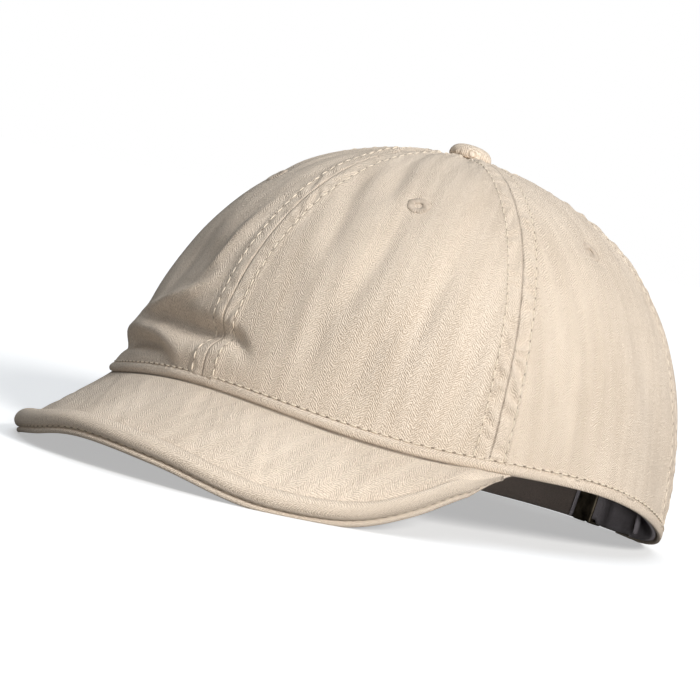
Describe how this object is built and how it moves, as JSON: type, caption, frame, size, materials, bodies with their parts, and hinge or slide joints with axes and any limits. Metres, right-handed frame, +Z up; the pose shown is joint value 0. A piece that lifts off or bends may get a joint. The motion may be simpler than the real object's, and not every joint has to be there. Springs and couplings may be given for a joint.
{
  "type": "dad hat",
  "caption": "Soft unstructured panelled cap in twill with a short curved peak, a rolled peak edge, a top button and a cloth strap with a metal slide at the back.",
  "frame": {"origin": "middle of the hat's box, on the surface that it rests on", "axes": "+Z up from the surface, the peak towards -Y, the wearer's left towards +X"},
  "size_m": [0.1868, 0.232, 0.1187],
  "materials": {
    "cap_cloth": "washed cotton twill, matt",
    "thread": "cotton sewing thread, slight sheen",
    "sweatband_cloth": "plain woven cotton, matt",
    "slide_metal": "aged, satin"
  },
  "bodies": {
    "root": {"panel_front_left": "cap_cloth", "panel_front_right": "cap_cloth", "panel_side_left": "cap_cloth", "panel_side_right": "cap_cloth", "panel_back_left": "cap_cloth", "panel_back_right": "cap_cloth", "edge_band": "cap_cloth", "peak": "cap_cloth", "peak_binding": "cap_cloth", "button": "cap_cloth", "back_strap": "cap_cloth", "strap_tail": "cap_cloth", "eyelet_front_left": "thread", "eyelet_front_right": "thread", "eyelet_side_left": "thread", "eyelet_side_right": "thread", "eyelet_back_left": "thread", "eyelet_back_right": "thread", "sweatband": "sweatband_cloth", "strap_buckle": "slide_metal"}
  },
  "joints": []
}
